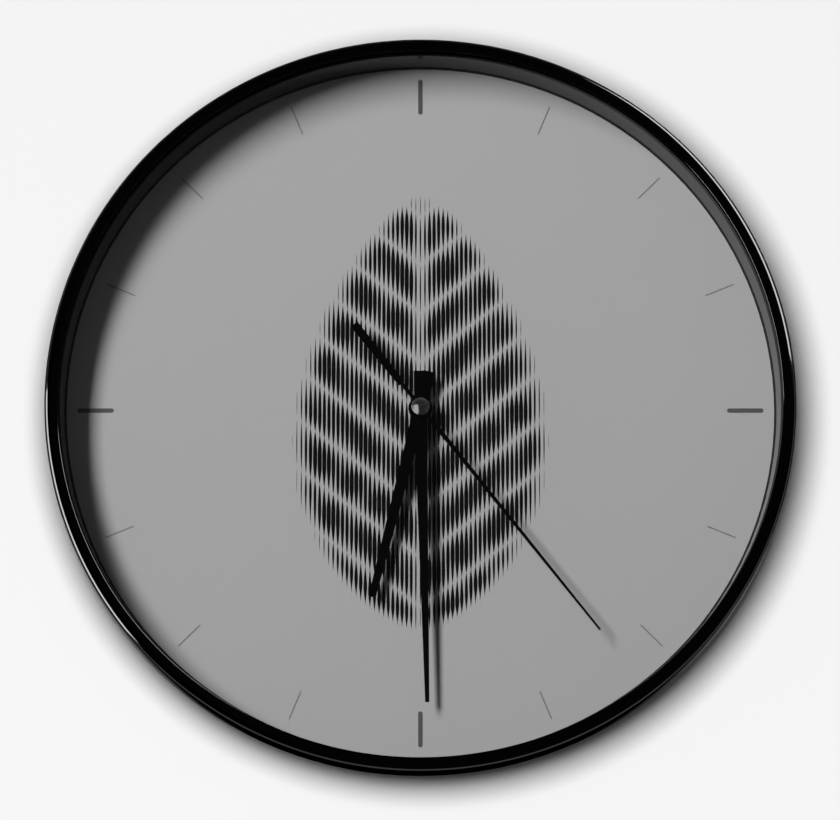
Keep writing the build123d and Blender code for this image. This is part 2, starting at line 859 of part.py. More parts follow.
def setting_knob():
    head_front = movement_stand_off - knob_gap
    head_radius = knob_radius - pinion_addendum_share * knob_radius / knurls
    head = toothed(knurls, head_radius, 0, pinion_addendum_share, knurl_half_width_shares)
    knob = raised(head, head_front - knob_thickness, head_front, knob_place)
    knob += rod(knob_shaft_radius, head_front, pinion_back(motion_layer), knob_place)
    radius = pitch_radius(knob_distance, knob_teeth, minute_teeth)
    low, high = pinion_back(motion_layer), pinion_front(motion_layer)
    knob += pinion(knob_teeth, radius, motion_angle + math.pi, low, high, knob_place)
    return knob + rod(post_radius, high, front_inner + knob_stub_depth, knob_place)


# Battery and contacts

def along_bay(radius, start, end):
    """A cylinder along the battery bay's axis."""
    middle = (start + end) / 2
    return Pos(middle, battery_axis, battery_height) * Rot(0, 90, 0) * Cylinder(radius, end - start)


def battery():
    nub_end = inner_side - contact_thickness - contact_gap
    body_end = nub_end - battery_nub_length
    body = along_bay(battery_diameter / 2, body_end - battery_body_length, body_end)
    rims = body.edges().filter_by(GeomType.CIRCLE)
    body = fillet(rims, battery_edge)
    return body + along_bay(battery_nub_diameter / 2, body_end - overrun, nub_end)


def contact_y_span():
    """Height of the plate that stands at each end of the bay."""
    return battery_axis - contact_width / 2, battery_axis + contact_width / 2


def contact_positive():
    side = (inner_side - contact_thickness, inner_side)
    low = contact_y_span()[0]
    return block(side, (low, bay_top + positive_tail), (movement_stand_off + contact_set_back, board_front))


def contact_negative():
    side = (-inner_side, -inner_side + contact_thickness)
    strip_front = front_inner - contact_gap
    strip_back = strip_front - strip_width
    low = contact_y_span()[0]
    contact = block(side, (low, strip_top), (movement_stand_off + contact_set_back, strip_front))
    strip_end = board_left + board_post_inset
    contact += block((-inner_side, strip_end), (train_floor, strip_top), (strip_back, strip_front))
    return contact + negative_leaf()


def negative_leaf():
    """Bowed leaf that presses on the flat end of the battery."""
    foot = -inner_side + contact_thickness
    crown = foot + leaf_rise
    half = leaf_height / 2
    outside = ThreePointArc((foot, -half), (crown, 0), (foot, half))
    inside = ThreePointArc(
        (foot, half - contact_thickness), (crown - contact_thickness, 0), (foot, contact_thickness - half)
    )
    face = make_face([
        outside,
        Line((foot, half), (foot, half - contact_thickness)),
        inside,
        Line((foot, contact_thickness - half), (foot, -half)),
    ])
    low = battery_height - leaf_width / 2
    return raised(face, low, low + leaf_width, (0, battery_axis))


# Hands

def at_clock_angle(shape, angle):
    """Turn a hand from the top of the dial to its angle, clockwise."""
    return Rot(0, 0, -angle) * shape


def tapered(start, end, start_width, end_width):
    """A straight-sided strip along the hand, between two distances from the arbor."""
    return outline([
        (-start_width / 2, start),
        (start_width / 2, start),
        (end_width / 2, end),
        (-end_width / 2, end),
    ])


def flat_hand(faces, hole_radius, height, thickness):
    """A hand stamped from sheet, with a round hole at its hub."""
    low = dial_front + height
    hand = raised(faces, low, low + thickness)
    return hand - rod(hole_radius, low - overrun, low + thickness + overrun)


def collet(inner_radius, length, height):
    """Short tube behind a hand that grips its arbor."""
    top = dial_front + height
    ring = rod(inner_radius + collet_wall, top - length, top)
    return ring - rod(inner_radius, top - length - overrun, top + overrun)


def hour_hand():
    faces = Circle(hub_radius)
    faces += tapered(0, hour_length, hour_root_width, hour_tip_width)
    faces += tapered(-hour_tail_length, 0, hour_tail_width, hour_tail_width)
    bore = hour_pipe_radius + press_gap
    hand = flat_hand(faces, bore, hour_hand_height, hand_thickness)
    hand += collet(bore, hour_collet_length, hour_hand_height)
    return at_clock_angle(hand, hour_hand_angle)


def minute_hand():
    faces = Circle(minute_hub_radius)
    faces += tapered(0, minute_length, minute_root_width, minute_tip_width)
    faces += tapered(-minute_tail_length, 0, minute_tail_width, minute_tail_width)
    bore = minute_tube_radius + press_gap
    hand = flat_hand(faces, bore, minute_hand_height, hand_thickness)
    hand += collet(bore, minute_collet_length, minute_hand_height)
    return at_clock_angle(hand, minute_hand_angle)


def second_hand():
    faces = Circle(second_hub_radius)
    faces += tapered(0, second_length, second_root_width, second_tip_width)
    faces += tapered(-paddle_start, 0, second_neck_width, second_neck_width)
    faces += tapered(-paddle_end, -paddle_start, paddle_end_width, paddle_start_width)
    hand = flat_hand(faces, cap_tube_radius + press_gap, second_hand_height, second_hand_thickness)
    return at_clock_angle(hand, second_hand_angle)


def second_hand_cap():
    base = dial_front + second_hand_height + second_hand_thickness
    edge = base + cap_edge
    dome_rise = cap_height - cap_edge
    dome_radius = (cap_radius ** 2 + dome_rise ** 2) / (2 * dome_rise)
    halfway = math.asin(cap_radius / dome_radius) / 2
    drop = dome_radius * (1 - math.cos(halfway))
    middle = (dome_radius * math.sin(halfway), base + cap_height - drop)
    dome = turned(make_face([
        Line((0, base), (cap_radius, base)),
        Line((cap_radius, base), (cap_radius, edge)),
        ThreePointArc((cap_radius, edge), middle, (0, base + cap_height)),
        Line((0, base + cap_height), (0, base)),
    ]))
    tube_back = dial_front + second_hand_height - cap_tube_length
    cap = dome + rod(cap_tube_radius, tube_back, base)
    return cap - rod(seconds_arbor_radius + press_gap, tube_back - overrun, base + cap_bore_rise)


# Every piece, placed in the part's frame: the dial faces -Y and the hanger hole is at the origin

clock_frame = Plane(origin=(0, 0, -hang_drop), x_dir=(1, 0, 0), z_dir=(0, -1, 0))

makers = [
    rear_case, front_bezel, lens, lens_seal, spacer_ring, dial_gasket, dial_plate,
    movement_base, movement_cover, middle_plate,
    circuit_board, driver_chip, quartz_crystal, coil_bobbin, coil_winding, coil_core, stator,
    rotor, intermediate_wheel, seconds_wheel, third_wheel, centre_wheel,
    minute_arbor, minute_wheel, hour_wheel, setting_knob,
    battery, contact_positive, contact_negative,
    hour_hand, minute_hand, second_hand, second_hand_cap,
]

os.makedirs("parts", exist_ok=True)
for maker in makers:
    export_step(clock_frame.location * maker(), f"parts/{maker.__name__}.step")
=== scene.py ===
import math

import bpy
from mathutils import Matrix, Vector


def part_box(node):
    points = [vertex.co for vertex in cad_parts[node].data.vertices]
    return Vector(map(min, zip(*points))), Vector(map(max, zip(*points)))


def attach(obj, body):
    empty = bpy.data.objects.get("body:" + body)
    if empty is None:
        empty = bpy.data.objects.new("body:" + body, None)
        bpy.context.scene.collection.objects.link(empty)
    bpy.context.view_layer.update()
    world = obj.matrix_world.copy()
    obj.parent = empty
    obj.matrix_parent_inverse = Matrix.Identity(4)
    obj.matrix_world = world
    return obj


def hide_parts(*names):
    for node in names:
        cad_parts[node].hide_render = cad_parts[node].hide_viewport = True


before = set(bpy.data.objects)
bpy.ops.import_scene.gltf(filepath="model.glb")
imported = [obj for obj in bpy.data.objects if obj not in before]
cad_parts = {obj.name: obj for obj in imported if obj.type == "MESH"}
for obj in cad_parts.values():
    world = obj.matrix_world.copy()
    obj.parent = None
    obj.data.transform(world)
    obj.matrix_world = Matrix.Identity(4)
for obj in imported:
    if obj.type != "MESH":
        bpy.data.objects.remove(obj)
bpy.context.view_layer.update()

MM = 0.001

# Where things lie: the wall is y = 0, the front looks to -Y, and the hands turn about
# (0, y, ARBOR_Z).

ARBOR_Z = -0.104
DIAL_FACE = -0.023


# The camera stands a little below the clock, as in the photograph.

IMAGE_WIDTH = 840
VIEW_RISE = math.radians(13.33)
VIEW_DISTANCE = 3.0
SENSOR_MM = 36
LENS_MM = 379.34
SHIFT_PIXELS = (-0.4, 0.6)
CLIP_NEAR = 0.01
CLIP_FAR = 50


def make_camera():
    target = Vector((0, DIAL_FACE, ARBOR_Z))
    away = Vector((0, -math.cos(VIEW_RISE), -math.sin(VIEW_RISE)))
    data = bpy.data.cameras.new("camera")
    data.sensor_width = SENSOR_MM
    data.lens = LENS_MM
    data.shift_x = SHIFT_PIXELS[0] / IMAGE_WIDTH
    data.shift_y = SHIFT_PIXELS[1] / IMAGE_WIDTH
    data.clip_start = CLIP_NEAR
    data.clip_end = CLIP_FAR
    camera = bpy.data.objects.new("camera", data)
    camera.location = target + away * VIEW_DISTANCE
    camera.rotation_euler = (-away).to_track_quat("-Z", "Y").to_euler()
    bpy.context.scene.collection.objects.link(camera)
    bpy.context.scene.camera = camera


# Node helpers

class Tree:
    """Short calls for building the node tree of one material or world."""

    def __init__(self, owner):
        owner.use_nodes = True
        self.owner = owner
        self.tree = owner.node_tree
        self.tree.nodes.clear()

    def node(self, kind, **settings):
        made = self.tree.nodes.new("ShaderNode" + kind)
        for key, value in settings.items():
            setattr(made, key, value)
        return made

    def link(self, source, target):
        self.tree.links.new(source, target)

    def feed(self, socket, value):
        if isinstance(value, bpy.types.NodeSocket):
            self.link(value, socket)
        else:
            socket.default_value = value

    def coords(self, stretch=(1, 1, 1)):
        place = self.node("TexCoord")
        mapping = self.node("Mapping")
        mapping.inputs["Scale"].default_value = stretch
        self.link(place.outputs["Object"], mapping.inputs["Vector"])
        return mapping.outputs["Vector"]

    def noise(self, where, scale, detail=3.0, rough=0.55):
        made = self.node("TexNoise")
        self.link(where, made.inputs["Vector"])
        made.inputs["Scale"].default_value = scale
        made.inputs["Detail"].default_value = detail
        made.inputs["Roughness"].default_value = rough
        return made.outputs["Fac"]

    def cells(self, where, scale, output="Distance"):
        made = self.node("TexVoronoi", feature="F1")
        self.link(where, made.inputs["Vector"])
        made.inputs["Scale"].default_value = scale
        return made.outputs[output]

    def math(self, kind, a, b=0.0):
        made = self.node("Math", operation=kind)
        self.feed(made.inputs[0], a)
        self.feed(made.inputs[1], b)
        return made.outputs[0]

    def times(self, a, b):
        return self.math("MULTIPLY", a, b)

    def span(self, value, low, high, to_low=0.0, to_high=1.0, smooth=False):
        """Maps low to to_low and high to to_high, and keeps to them beyond."""
        made = self.node("MapRange", interpolation_type="SMOOTHSTEP" if smooth else "LINEAR")
        self.feed(made.inputs["Value"], value)
        made.inputs["From Min"].default_value = low
        made.inputs["From Max"].default_value = high
        made.inputs["To Min"].default_value = to_low
        made.inputs["To Max"].default_value = to_high
        return made.outputs["Result"]

    def blend(self, factor, a, b):
        made = self.node("Mix", data_type="RGBA")
        self.feed(made.inputs["Factor"], factor)
        self.feed(made.inputs["A"], a)
        self.feed(made.inputs["B"], b)
        return made.outputs["Result"]

    def split(self, vector):
        made = self.node("SeparateXYZ")
        self.link(vector, made.inputs[0])
        return made.outputs

    def bump(self, height, depth_mm, strength):
        made = self.node("Bump")
        made.inputs["Strength"].default_value = strength
        made.inputs["Distance"].default_value = depth_mm * MM
        self.link(height, made.inputs["Height"])
        return made.outputs["Normal"]

    def mix(self, factor, first, second):
        """Two shaders mixed, as the material's surface."""
        both = self.node("MixShader")
        self.link(factor, both.inputs[0])
        self.link(first.outputs[0], both.inputs[1])
        self.link(second.outputs[0], both.inputs[2])
        self.surface(both)

    def surface(self, shader):
        out = self.node("OutputMaterial")
        self.link(shader.outputs[0], out.inputs["Surface"])


def material_tree(name):
    return Tree(bpy.data.materials.new(name))


def rgb(level, green=None, blue=None):
    if green is None:
        return (level, level, level, 1.0)
    return (level, green, blue, 1.0)


PLASTIC_IOR = 1.5
COAT_ROUGHNESS = 0.03


def principled(tree, colour, rough, metal=0.0, normal=None, coat=0.0):
    shader = tree.node("BsdfPrincipled")
    tree.feed(shader.inputs["Base Color"], colour)
    tree.feed(shader.inputs["Roughness"], rough)
    shader.inputs["Metallic"].default_value = metal
    shader.inputs["IOR"].default_value = PLASTIC_IOR
    shader.inputs["Coat Weight"].default_value = coat
    shader.inputs["Coat Roughness"].default_value = COAT_ROUGHNESS
    if normal is not None:
        tree.link(normal, shader.inputs["Normal"])
    tree.surface(shader)
    return shader


# Materials, one for each finish that the record names. Scales are in waves per metre.

LACQUER_EDGE_TINT = 0.04        # how much of the mirror is left at a low angle
GRAIN_LIFT = 1.35
NYLON_WARMTH = (0.9, 0.88, 0.82)
NYLON_DEPTH = 0.6 * MM
STAIN_SHADE = 0.72
# share of copper at a turn's crest; the grooves between turns get painted shade
GROOVE_PAINTED_SHADE = 0.55
TRACK_HALF_PITCH = 1.1 * MM
TRACK_EDGE = (0.85 * MM, 0.95 * MM)
TRACK_SLANT = 0.5
CELL_BAND = (0.68, 0.685)       # shares of the battery's length
CELL_BARE_FROM = 0.482
INK_THIN_GAIN = 1.6
INK_THIN_LIFT = 0.004
FLECK_GAIN = 2.2
LENS_IOR = 1.45


def worn_gloss(tree, clean, dusty, dust_share, least_rough, most_rough, ripple_mm):
    """Colour, roughness and ripple of a mirror finish with fine dust and wiping marks."""
    where = tree.coords()
    haze = tree.noise(where, scale=38.0, detail=4.0)
    wiped = tree.noise(tree.coords(stretch=(1, 1, 9)), scale=120.0, detail=2.0)
    rough = tree.span(tree.times(haze, wiped), 0.12, 0.42, to_low=least_rough, to_high=most_rough)
    dust = tree.span(tree.cells(where, scale=620.0), 0.0, 0.10, to_low=1.0, to_high=0.0)
    spread = tree.span(tree.noise(where, scale=55.0, detail=2.0), 0.52, 0.62)
    colour = tree.blend(tree.times(tree.times(dust, spread), dust_share), rgb(clean), rgb(dusty))
    ripple = tree.bump(tree.noise(where, scale=90.0, detail=1.0), ripple_mm, strength=0.5)
    return colour, rough, ripple


def gloss_plastic(name, level):
    """Polished dark moulding: mirror-like, with faint ripple, fine dust and wiping marks."""
    tree = material_tree(name)
    colour, rough, ripple = worn_gloss(tree, clean=level, dusty=0.16, dust_share=0.10,
                                       least_rough=0.045, most_rough=0.11, ripple_mm=0.006)
    principled(tree, colour, rough, normal=ripple)
    return tree.owner


def lacquer(name):
    """Black mirror finish of the rim, which stays dark at a low angle too."""
    tree = material_tree(name)
    colour, rough, ripple = worn_gloss(tree, clean=0.045, dusty=0.30, dust_share=0.25,
                                       least_rough=0.04, most_rough=0.09, ripple_mm=0.004)
    shader = principled(tree, colour, rough, metal=1.0, normal=ripple)
    shader.inputs["Specular Tint"].default_value = rgb(LACQUER_EDGE_TINT)
    return tree.owner


def grained_plastic(name, level, rough_low, rough_high, grain, depth_mm):
    """Moulded plastic with a fine spark-eroded grain and slightly uneven sheen."""
    tree = material_tree(name)
    where = tree.coords()
    cloud = tree.noise(where, scale=60.0)
    colour = tree.blend(tree.span(cloud, 0.35, 0.7), rgb(level), rgb(level * GRAIN_LIFT))
    sheen = tree.noise(where, scale=180.0)
    rough = tree.span(sheen, 0.3, 0.7, to_low=rough_low, to_high=rough_high)
    pits = tree.noise(where, scale=grain, detail=2.0, rough=0.7)
    principled(tree, colour, rough, normal=tree.bump(pits, depth_mm, strength=0.6))
    return tree.owner


def soft_plastic(name, base):
    """Unpainted nylon: a little cloudy, with flow marks."""
    tree = material_tree(name)
    flow = tree.noise(tree.coords(stretch=(1, 4, 1)), scale=240.0)
    warm = tuple(c * share for c, share in zip(base, NYLON_WARMTH)) + (1.0,)
    colour = tree.blend(tree.span(flow, 0.4, 0.7), base, warm)
    sheen = tree.noise(tree.coords(), scale=700.0)
    rough = tree.span(sheen, 0.3, 0.7, to_low=0.32, to_high=0.5)
    shader = principled(tree, colour, rough, normal=tree.bump(flow, depth_mm=0.01, strength=0.4))
    shader.inputs["Subsurface Weight"].default_value = 0.15
    shader.inputs["Subsurface Radius"].default_value = (0.6, 0.6, 0.6)
    shader.inputs["Subsurface Scale"].default_value = NYLON_DEPTH
    return tree.owner


def rubber(name):
    """Black rubber with a pale bloom and a fine skin."""
    tree = material_tree(name)
    where = tree.coords()
    bloom = tree.noise(where, scale=150.0, detail=4.0)
    colour = tree.blend(tree.span(bloom, 0.4, 0.75), rgb(0.012), rgb(0.028))
    rough = tree.span(bloom, 0.3, 0.7, to_low=0.62, to_high=0.8)
    skin = tree.bump(tree.noise(where, scale=3200.0), depth_mm=0.02, strength=0.7)
    principled(tree, colour, rough, normal=skin)
    return tree.owner


def machined(name, base, rough_low, rough_high, streaks):
    """Metal with fine tool marks; streaks squeezes the marks across an axis."""
    tree = material_tree(name)
    lines = tree.noise(tree.coords(stretch=streaks), scale=900.0, detail=4.0, rough=0.6)
    stain = tree.noise(tree.coords(), scale=160.0)
    dull = tuple(c * STAIN_SHADE for c in base[:3]) + (1.0,)
    colour = tree.blend(tree.span(stain, 0.45, 0.75), base, dull)
    rough = tree.span(lines, 0.3, 0.7, to_low=rough_low, to_high=rough_high)
    principled(tree, colour, rough, metal=1.0,
               normal=tree.bump(lines, depth_mm=0.004, strength=0.5))
    return tree.owner


def wound_wire(name):
    """Enamelled copper wire: fine turns round the bobbin, seen as close ridges, with painted shade
    in the grooves between them.
    """
    tree = material_tree(name)
    wave = tree.node("TexWave", wave_type="BANDS", bands_direction="X", wave_profile="SIN")
    tree.link(tree.coords(), wave.inputs["Vector"])
    wave.inputs["Scale"].default_value = 1300.0
    wave.inputs["Distortion"].default_value = 0.4
    wave.inputs["Detail Scale"].default_value = 3.0
    turns = wave.outputs["Fac"]
    tone = tree.noise(tree.coords(), scale=300.0)
    copper = tree.blend(tree.span(tone, 0.35, 0.7), rgb(0.62, 0.23, 0.10), rgb(0.42, 0.13, 0.05))
    # Painted shade: the copper goes dark brown in the low grooves between the turns.
    colour = tree.blend(tree.times(turns, GROOVE_PAINTED_SHADE), rgb(0.12, 0.035, 0.015), copper)
    principled(tree, colour, rough=0.3, metal=1.0, coat=0.4,
               normal=tree.bump(turns, depth_mm=0.05, strength=0.8))
    return tree.owner


def circuit(name):
    """Green lacquered board: woven glass under the lacquer and a few copper lines."""
    tree = material_tree(name)
    where = tree.coords()
    weave = tree.node("TexBrick")
    tree.link(where, weave.inputs["Vector"])
    weave.inputs["Scale"].default_value = 900.0
    weave.inputs["Mortar Size"].default_value = 0.06
    weave.inputs["Color1"].default_value = rgb(0.014, 0.095, 0.035)
    weave.inputs["Color2"].default_value = rgb(0.018, 0.12, 0.045)
    weave.inputs["Mortar"].default_value = rgb(0.01, 0.07, 0.025)
    x, _, z = tree.split(where)[:3]
    slanted = tree.math("ADD", x, tree.times(z, TRACK_SLANT))
    rows = tree.math("PINGPONG", slanted, TRACK_HALF_PITCH)
    copper = tree.span(rows, *TRACK_EDGE)
    colour = tree.blend(copper, weave.outputs["Color"], rgb(0.05, 0.2, 0.06))
    principled(tree, colour, rough=0.32, coat=0.5,
               normal=tree.bump(copper, depth_mm=0.03, strength=0.6))
    return tree.owner


def cell_jacket(name):
    """Battery sleeve in two plain colours with a nickel look at both ends."""
    tree = material_tree(name)
    where = tree.coords()
    low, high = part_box("battery")
    x = tree.split(where)[0]
    length = high.x - low.x
    band = tree.span(x, *(low.x + length * share for share in CELL_BAND))
    off_middle = tree.math("ABSOLUTE", tree.math("SUBTRACT", x, (low.x + high.x) / 2))
    bare = tree.math("GREATER_THAN", off_middle, length * CELL_BARE_FROM)
    scuff = tree.noise(tree.coords(stretch=(1, 6, 6)), scale=260.0, detail=4.0)
    dark = tree.blend(tree.span(scuff, 0.6, 0.8), rgb(0.02), rgb(0.06))
    gold = tree.blend(tree.span(scuff, 0.5, 0.8), rgb(0.55, 0.33, 0.09), rgb(0.42, 0.24, 0.06))
    jacket = tree.node("BsdfPrincipled")
    tree.link(tree.blend(band, dark, gold), jacket.inputs["Base Color"])
    tree.link(tree.span(scuff, 0.3, 0.8, to_low=0.22, to_high=0.4), jacket.inputs["Roughness"])
    ends = tree.node("BsdfPrincipled")
    ends.inputs["Metallic"].default_value = 1.0
    nickel = tree.blend(tree.noise(where, scale=900.0), rgb(0.6), rgb(0.72))
    tree.link(nickel, ends.inputs["Base Color"])
    ends.inputs["Roughness"].default_value = 0.3
    tree.mix(bare, jacket, ends)
    return tree.owner


def dial_paper(name, level):
    """Printed grey card with faint fibre and a few specks of dust; painted light makes its grey
    lighter towards the top and darker towards the bottom.
    """
    tree = material_tree(name)
    where = tree.coords()
    fibre = tree.noise(tree.coords(stretch=(1, 1, 3)), scale=900.0, detail=4.0, rough=0.7)
    cloud = tree.noise(where, scale=9.0, detail=2.0)
    low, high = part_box("dial_plate")
    height = tree.split(where)[2]
    # Painted light: the grey is made lighter towards the top and darker towards the bottom.
    fade = tree.span(height, low.z, high.z, to_low=level * 0.965, to_high=level * 1.03)
    tone = tree.times(fade, tree.span(cloud, 0.3, 0.7, to_low=0.99, to_high=1.01))
    tone = tree.times(tone, tree.span(fibre, 0.3, 0.7, to_low=0.975, to_high=1.025))
    grey = tree.node("CombineColor")
    for channel in ("Red", "Green", "Blue"):
        tree.link(tone, grey.inputs[channel])
    speck = tree.span(tree.cells(where, scale=170.0), 0.0, 0.035, to_low=1.0, to_high=0.0)
    chosen = tree.span(tree.cells(where, scale=170.0, output="Color"), 0.86, 0.9)
    colour = tree.blend(tree.times(speck, chosen), grey.outputs[0], rgb(0.75))
    principled(tree, colour, rough=0.62, normal=tree.bump(fibre, depth_mm=0.01, strength=0.35))
    return tree.owner


def ink(name, level):
    """Screen-printed ink: slightly uneven where it lies thin."""
    tree = material_tree(name)
    thin = tree.noise(tree.coords(), scale=1600.0)
    paler = rgb(level * INK_THIN_GAIN + INK_THIN_LIFT)
    colour = tree.blend(tree.span(thin, 0.45, 0.8), rgb(level), paler)
    principled(tree, colour, tree.span(thin, 0.3, 0.7, to_low=0.42, to_high=0.6),
               normal=tree.bump(thin, depth_mm=0.004, strength=0.5))
    return tree.owner


def hand_finish(name, level):
    """Black lacquered stamping, satin, with a trace of brushing along the hand."""
    tree = material_tree(name)
    brushed = tree.noise(tree.coords(stretch=(8, 1, 1)), scale=700.0)
    fleck = tree.noise(tree.coords(), scale=2400.0, detail=2.0)
    colour = tree.blend(tree.span(fleck, 0.5, 0.8), rgb(level), rgb(level * FLECK_GAIN))
    principled(tree, colour, tree.span(brushed, 0.3, 0.7, to_low=0.28, to_high=0.42),
               normal=tree.bump(brushed, depth_mm=0.004, strength=0.4))
    return tree.owner


def polished_cap(name):
    """Silver dome, polished, with very fine hairlines and a trace of stain."""
    tree = material_tree(name)
    where = tree.coords()
    hair = tree.noise(where, scale=2600.0)
    stain = tree.noise(where, scale=420.0, detail=2.0)
    colour = tree.blend(tree.span(stain, 0.35, 0.75), rgb(0.85), rgb(0.70))
    principled(tree, colour, tree.span(hair, 0.3, 0.7, to_low=0.09, to_high=0.15), metal=1.0,
               normal=tree.bump(hair, depth_mm=0.001, strength=0.3))
    return tree.owner


def clear_sheet(name):
    """Clear lens: lets light straight through, so each face reflects as seen from outside."""
    tree = material_tree(name)
    through = tree.node("BsdfTransparent")
    mirror = tree.node("BsdfGlossy")
    wiped = tree.noise(tree.coords(stretch=(1, 1, 5)), scale=60.0, detail=4.0)
    tree.link(tree.span(wiped, 0.3, 0.75, to_low=0.0, to_high=0.06), mirror.inputs["Roughness"])
    share = tree.node("Fresnel")
    inside = tree.node("NewGeometry").outputs["Backfacing"]
    ior = tree.span(inside, 0.0, 1.0, to_low=LENS_IOR, to_high=1 / LENS_IOR)
    tree.link(ior, share.inputs["IOR"])
    tree.mix(share.outputs[0], through, mirror)
    return tree.owner


def make_materials():
    return {
        "bezel_black": lacquer("bezel_black"),
        "case_black": grained_plastic(
            "case_black", level=0.012, rough_low=0.38, rough_high=0.55, grain=2600.0,
            depth_mm=0.03),
        "lens_clear": clear_sheet("lens_clear"),
        "seal_black": rubber("seal_black"),
        "spacer_black": gloss_plastic("spacer_black", level=0.035),
        "dial_print": dial_paper("dial_print", level=0.35),
        "hand_black": hand_finish("hand_black", level=0.0006),
        "cap_silver": polished_cap("cap_silver"),
        "shell_black": grained_plastic(
            "shell_black", level=0.014, rough_low=0.32, rough_high=0.5, grain=2000.0,
            depth_mm=0.04),
        "inner_white": soft_plastic("inner_white", rgb(0.74, 0.73, 0.69)),
        "arbor_brass": machined(
            "arbor_brass", rgb(0.72, 0.49, 0.2), rough_low=0.18, rough_high=0.34,
            streaks=(1, 12, 1)),
        "rotor_ferrite": grained_plastic(
            "rotor_ferrite", level=0.035, rough_low=0.4, rough_high=0.6, grain=5000.0,
            depth_mm=0.02),
        "iron_plate": machined(
            "iron_plate", rgb(0.42), rough_low=0.28, rough_high=0.44, streaks=(10, 1, 1)),
        "copper_wire": wound_wire("copper_wire"),
        "contact_steel": machined(
            "contact_steel", rgb(0.62), rough_low=0.2, rough_high=0.36, streaks=(1, 1, 9)),
        "board_green": circuit("board_green"),
        "chip_black": grained_plastic(
            "chip_black", level=0.018, rough_low=0.5, rough_high=0.7, grain=6000.0,
            depth_mm=0.02),
        "battery_jacket": cell_jacket("battery_jacket"),
    }


def dress_nodes(materials):
    """Gives each CAD node the material of the finish that the record names for it."""
    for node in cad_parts.values():
        for place in node.material_slots:
            place.material = materials[place.material.name.split(".")[0]]


# Mesh helpers

def mesh_object(name, verts, faces, material):
    mesh = bpy.data.meshes.new(name)
    mesh.from_pydata(verts, [], faces)
    mesh.validate()
    mesh.update()
    made = bpy.data.objects.new(name, mesh)
    mesh.materials.append(material)
    bpy.context.scene.collection.objects.link(made)
    return made


def rectangle(name, low, high, y, material):
    """One face in the plane y, or in z = 0 where y is None, from corner low to corner high."""
    corners = [(low[0], low[1]), (high[0], low[1]), (high[0], high[1]), (low[0], high[1])]
    if y is None:
        verts = [(a, b, 0) for a, b in corners]
    else:
        verts = [(a, y, b) for a, b in corners]
    return mesh_object(name, verts, [(0, 1, 2, 3)], material)


# The dial's print: a leaf drawn with upright strips, whose width follows a formula

STRIP_PITCH = 1.55 * MM
LEAST_COVER = 0.05              # below this share of the pitch nothing is printed
MOST_COVER = 0.9
LEAF_HALF_WIDTH = 45 * MM
LEAF_HALF_HEIGHT = 78 * MM
LEAF_STEP = 0.7 * MM
LEAF_FULLNESS = 0.72            # the outline is rounder the smaller this is
LEAF_TAPER = 0.22               # how much narrower the leaf is towards its top
LEAF_WIDEST = 1.02              # brings the widest place back to the half width
EDGE_FADE = 9 * MM
TIP_FADE = 0.14
RIB_HALF_WIDTH = 0.6 * MM
RIB_FADE = 3.4 * MM
RIB_COVER = 0.35
VEIN_PITCH = 17 * MM
VEIN_RISE = 0.75
VEIN_WIDTH = 0.75               # the pale veins are narrower the smaller this is
RIPPLE_DEPTH = 0.14
RIPPLE_REACH = 2.3 * MM
RIPPLE_SWAY = 3
SWAY_REACH = 9 * MM
INK_BACK = DIAL_FACE + 0.01 * MM
INK_FRONT = DIAL_FACE - 0.03 * MM


def smooth(value):
    value = max(0.0, min(1.0, value))
    return value * value * (3 - 2 * value)


def leaf_cover(x, z):
    """How much of the pitch is inked at (x, z): 0 is bare and 1 is solid."""
    along = z / LEAF_HALF_HEIGHT
    if abs(along) >= 1:
        return 0.0
    half = LEAF_HALF_WIDTH * (1 - along * along) ** LEAF_FULLNESS
    half *= (1 - LEAF_TAPER * along) / LEAF_WIDEST
    inside = smooth((half - abs(x)) / EDGE_FADE)
    tips = smooth((1 - abs(along)) / TIP_FADE)
    rib = smooth((abs(x) - RIB_HALF_WIDTH) / RIB_FADE)
    rib = RIB_COVER + (1 - RIB_COVER) * rib
    vein = abs(math.sin(math.pi * (z - VEIN_RISE * abs(x)) / VEIN_PITCH)) ** VEIN_WIDTH
    sway = RIPPLE_SWAY * math.sin(z / SWAY_REACH)
    ripple = 1 - RIPPLE_DEPTH + RIPPLE_DEPTH * math.sin(x / RIPPLE_REACH + sway)
    return inside * tips * rib * vein * ripple


def strip_runs(x):
    """Splits one strip into runs where it's wide enough to print."""
    runs, run = [], []
    steps = int(2 * LEAF_HALF_HEIGHT / LEAF_STEP)
    for i in range(steps + 1):
        z = -LEAF_HALF_HEIGHT + i * LEAF_STEP
        cover = leaf_cover(x, z)
        if cover > LEAST_COVER:
            run.append((z, min(cover, MOST_COVER) * STRIP_PITCH / 2))
        elif run:
            runs.append(run)
            run = []
    if run:
        runs.append(run)
    return [r for r in runs if len(r) > 2]


def strip_outline(x, run):
    """The run's outline, closed with a point at either end."""
    left = [(x - half, z) for z, half in run]
    right = [(x + half, z) for z, half in reversed(run)]
    foot = (x, run[0][0] - LEAF_STEP)
    head = (x, run[-1][0] + LEAF_STEP)
    return [foot] + left + [head] + right


def print_edge(outline, verts, faces):
    """Adds the points and the edge faces of a thin layer of ink; returns its first point."""
    start = len(verts)
    count = len(outline)
    for y in (INK_FRONT, INK_BACK):
        verts.extend((x, y, z + ARBOR_Z) for x, z in outline)
    for i in range(count):
        j = (i + 1) % count
        faces.append((start + i, start + j, start + count + j, start + count + i))
    return start


def strip_faces(start, count, faces):
    """Quads across a strip, front and back, from its two sides."""
    half = (count - 2) // 2
    foot, head = start, start + half + 1
    left = [start + 1 + i for i in range(half)]
    right = [start + count - 1 - i for i in range(half)]
    for shift in (0, count):
        faces.append((foot + shift, left[0] + shift, right[0] + shift))
        for i in range(half - 1):
            quad = (left[i], left[i + 1], right[i + 1], right[i])
            faces.append(tuple(point + shift for point in quad))
        faces.append((left[-1] + shift, head + shift, right[-1] + shift))


